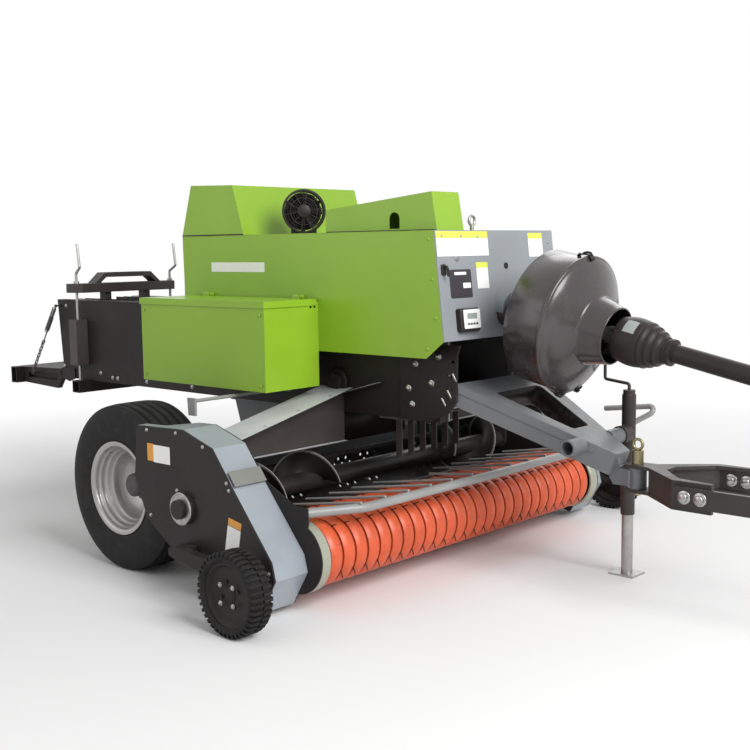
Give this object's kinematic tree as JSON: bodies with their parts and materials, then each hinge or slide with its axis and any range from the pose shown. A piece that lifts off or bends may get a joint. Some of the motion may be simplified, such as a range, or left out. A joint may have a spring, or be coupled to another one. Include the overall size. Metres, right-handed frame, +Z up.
{
  "type": "square baler",
  "caption": "In-line small square baler with full-width pick-up, gauge wheels, covered flywheel, telescoping driveline, hitch and folding bale chute.",
  "frame": {"origin": "on the ground, at the middle of the machine's length and width, as parked on its jack", "axes": "+X forward, towards the towing vehicle; +Y to the machine's left; +Z up"},
  "size_m": [5.6432, 2.84, 1.765],
  "materials": {
    "body_green": "satin agricultural green paint",
    "hood_green": "satin yellow-green paint",
    "grey_plate": "satin light grey paint",
    "frame_grey": "satin dark grey paint, worn",
    "chamber_black": "satin black paint, worn",
    "shield_black": "satin black paint",
    "strip_grey": "satin blue-grey paint",
    "band_orange": "satin orange paint",
    "bare_steel": "bare rolled steel",
    "rim_silver": "silver wheel paint",
    "tyre_rubber": "matte black rubber",
    "cover_plastic": "glossy dark grey moulded plastic",
    "guard_plastic": "black moulded plastic",
    "iron": "grey cast iron",
    "ring_olive": "satin olive-grey paint",
    "pin_brass": "yellow-passivated pin"
  },
  "bodies": {
    "frame": {"axle": "frame_grey", "chamber_sides": "chamber_black", "bale_case": "bare_steel", "plunger": "iron", "tension_rails": "chamber_black", "tension_beam": "frame_grey", "tension_screws": "bare_steel", "spring_boxes": "chamber_black", "lower_beam": "chamber_black", "chute_chains": "bare_steel", "side_panels": "body_green", "front_plate": "grey_plate", "top_deck": "hood_green", "body_frame": "frame_grey", "rear_hood": "hood_green", "front_hood": "hood_green", "fan_shroud": "guard_plastic", "lifting_eye": "bare_steel", "twine_box": "body_green", "flywheel_cover": "cover_plastic", "guard_rear": "guard_plastic", "drawbar": "frame_grey", "drawbar_brackets": "chamber_black", "pickup_wings": "frame_grey", "lift_shaft": "frame_grey", "feeder_guides": "chamber_black"},
    "wheel_right": {"wheel_tyre_right": "tyre_rubber", "wheel_rim_right": "rim_silver", "wheel_hub_right": "iron"},
    "wheel_left": {"wheel_tyre_left": "tyre_rubber", "wheel_rim_left": "rim_silver", "wheel_hub_left": "iron"},
    "fan": {"fan_rotor": "guard_plastic"},
    "driveline": {"flywheel": "iron", "drive_shaft": "iron"},
    "shaft_front": {"shaft_front": "iron"},
    "guard_front": {"guard_front": "guard_plastic"},
    "lid": {"twine_lid": "body_green"},
    "chute": {"bale_chute": "chamber_black"},
    "pickup": {"shields": "shield_black", "shield_strips": "strip_grey", "pickup_sides": "shield_black", "stripper_bands": "band_orange", "end_rings": "ring_olive", "auger_trough": "frame_grey", "band_carrier": "chamber_black", "wind_guard": "frame_grey", "gauge_arms": "chamber_black"},
    "reel": {"reel": "chamber_black"},
    "auger": {"auger": "bare_steel"},
    "gauge_right": {"gauge_tyre_right": "tyre_rubber", "gauge_disc_right": "chamber_black"},
    "gauge_left": {"gauge_tyre_left": "tyre_rubber", "gauge_disc_left": "chamber_black"},
    "hitch": {"hitch_yoke": "frame_grey", "hitch_bars": "frame_grey", "hitch_pin": "pin_brass"},
    "jack": {"jack_tube": "frame_grey"},
    "jack_leg": {"jack_leg": "bare_steel"}
  },
  "joints": [
    {"name": "wheel_right_spin", "type": "hinge", "parent": "frame", "child": "wheel_right", "pos_m": [-0.54157, -1.004, 0.38], "axis": [0, 1, 0], "continuous": true},
    {"name": "wheel_left_spin", "type": "hinge", "parent": "frame", "child": "wheel_left", "pos_m": [-0.54157, 1.004, 0.38], "axis": [0, 1, 0], "continuous": true},
    {"name": "fan_spin", "type": "hinge", "parent": "frame", "child": "fan", "pos_m": [-0.24157, -0.225, 1.623], "axis": [0.766, -0.6428, 0], "continuous": true},
    {"name": "driveline_spin", "type": "hinge", "parent": "frame", "child": "driveline", "pos_m": [1.16143, 0, 1.1125], "axis": [0.9781, 0, -0.2079], "continuous": true},
    {"name": "shaft_slide", "type": "slide", "parent": "driveline", "child": "shaft_front", "axis": [0.9781, 0, -0.2079], "range_m": [-0.15, 0.2]},
    {"name": "guard_slide", "type": "slide", "parent": "frame", "child": "guard_front", "axis": [0.9781, 0, -0.2079], "range_m": [-0.15, 0.2]},
    {"name": "twine_lid_open", "type": "hinge", "parent": "frame", "child": "lid", "pos_m": [-0.39007, -0.446, 1.228], "axis": [-1, 0, 0], "range_deg": [0, 85]},
    {"name": "chute_fold", "type": "hinge", "parent": "frame", "child": "chute", "pos_m": [-2.30157, 0, 0.716], "axis": [0, 1, 0], "range_deg": [0, 80], "deforming": ["chute_chains"]},
    {"name": "pickup_lift", "type": "hinge", "parent": "frame", "child": "pickup", "pos_m": [0.02343, 0, 0.384], "axis": [0, -1, 0], "range_deg": [0, 18]},
    {"name": "reel_spin", "type": "hinge", "parent": "pickup", "child": "reel", "pos_m": [0.49643, 0, 0.22], "axis": [0, 1, 0], "continuous": true},
    {"name": "auger_spin", "type": "hinge", "parent": "pickup", "child": "auger", "pos_m": [0.02343, 0, 0.384], "axis": [0, 1, 0], "continuous": true},
    {"name": "gauge_right_spin", "type": "hinge", "parent": "pickup", "child": "gauge_right", "pos_m": [0.52843, -1.368, 0.165], "axis": [0, 1, 0], "continuous": true},
    {"name": "gauge_left_spin", "type": "hinge", "parent": "pickup", "child": "gauge_left", "pos_m": [0.52843, 1.368, 0.165], "axis": [0, 1, 0], "continuous": true},
    {"name": "hitch_yaw", "type": "hinge", "parent": "frame", "child": "hitch", "pos_m": [1.44343, 0, 0.505], "axis": [0, 0, 1], "range_deg": [-60, 60]},
    {"name": "jack_swing", "type": "hinge", "parent": "frame", "child": "jack", "pos_m": [1.23843, 0.285, 0.63], "axis": [0, -1, 0], "range_deg": [0, 90]},
    {"name": "jack_leg_slide", "type": "slide", "parent": "jack", "child": "jack_leg", "axis": [0, 0, 1], "range_m": [0, 0.25]}
  ],
  "couplings": [
    {"joint": "guard_slide", "follows": "shaft_slide", "ratio": 1}
  ]
}
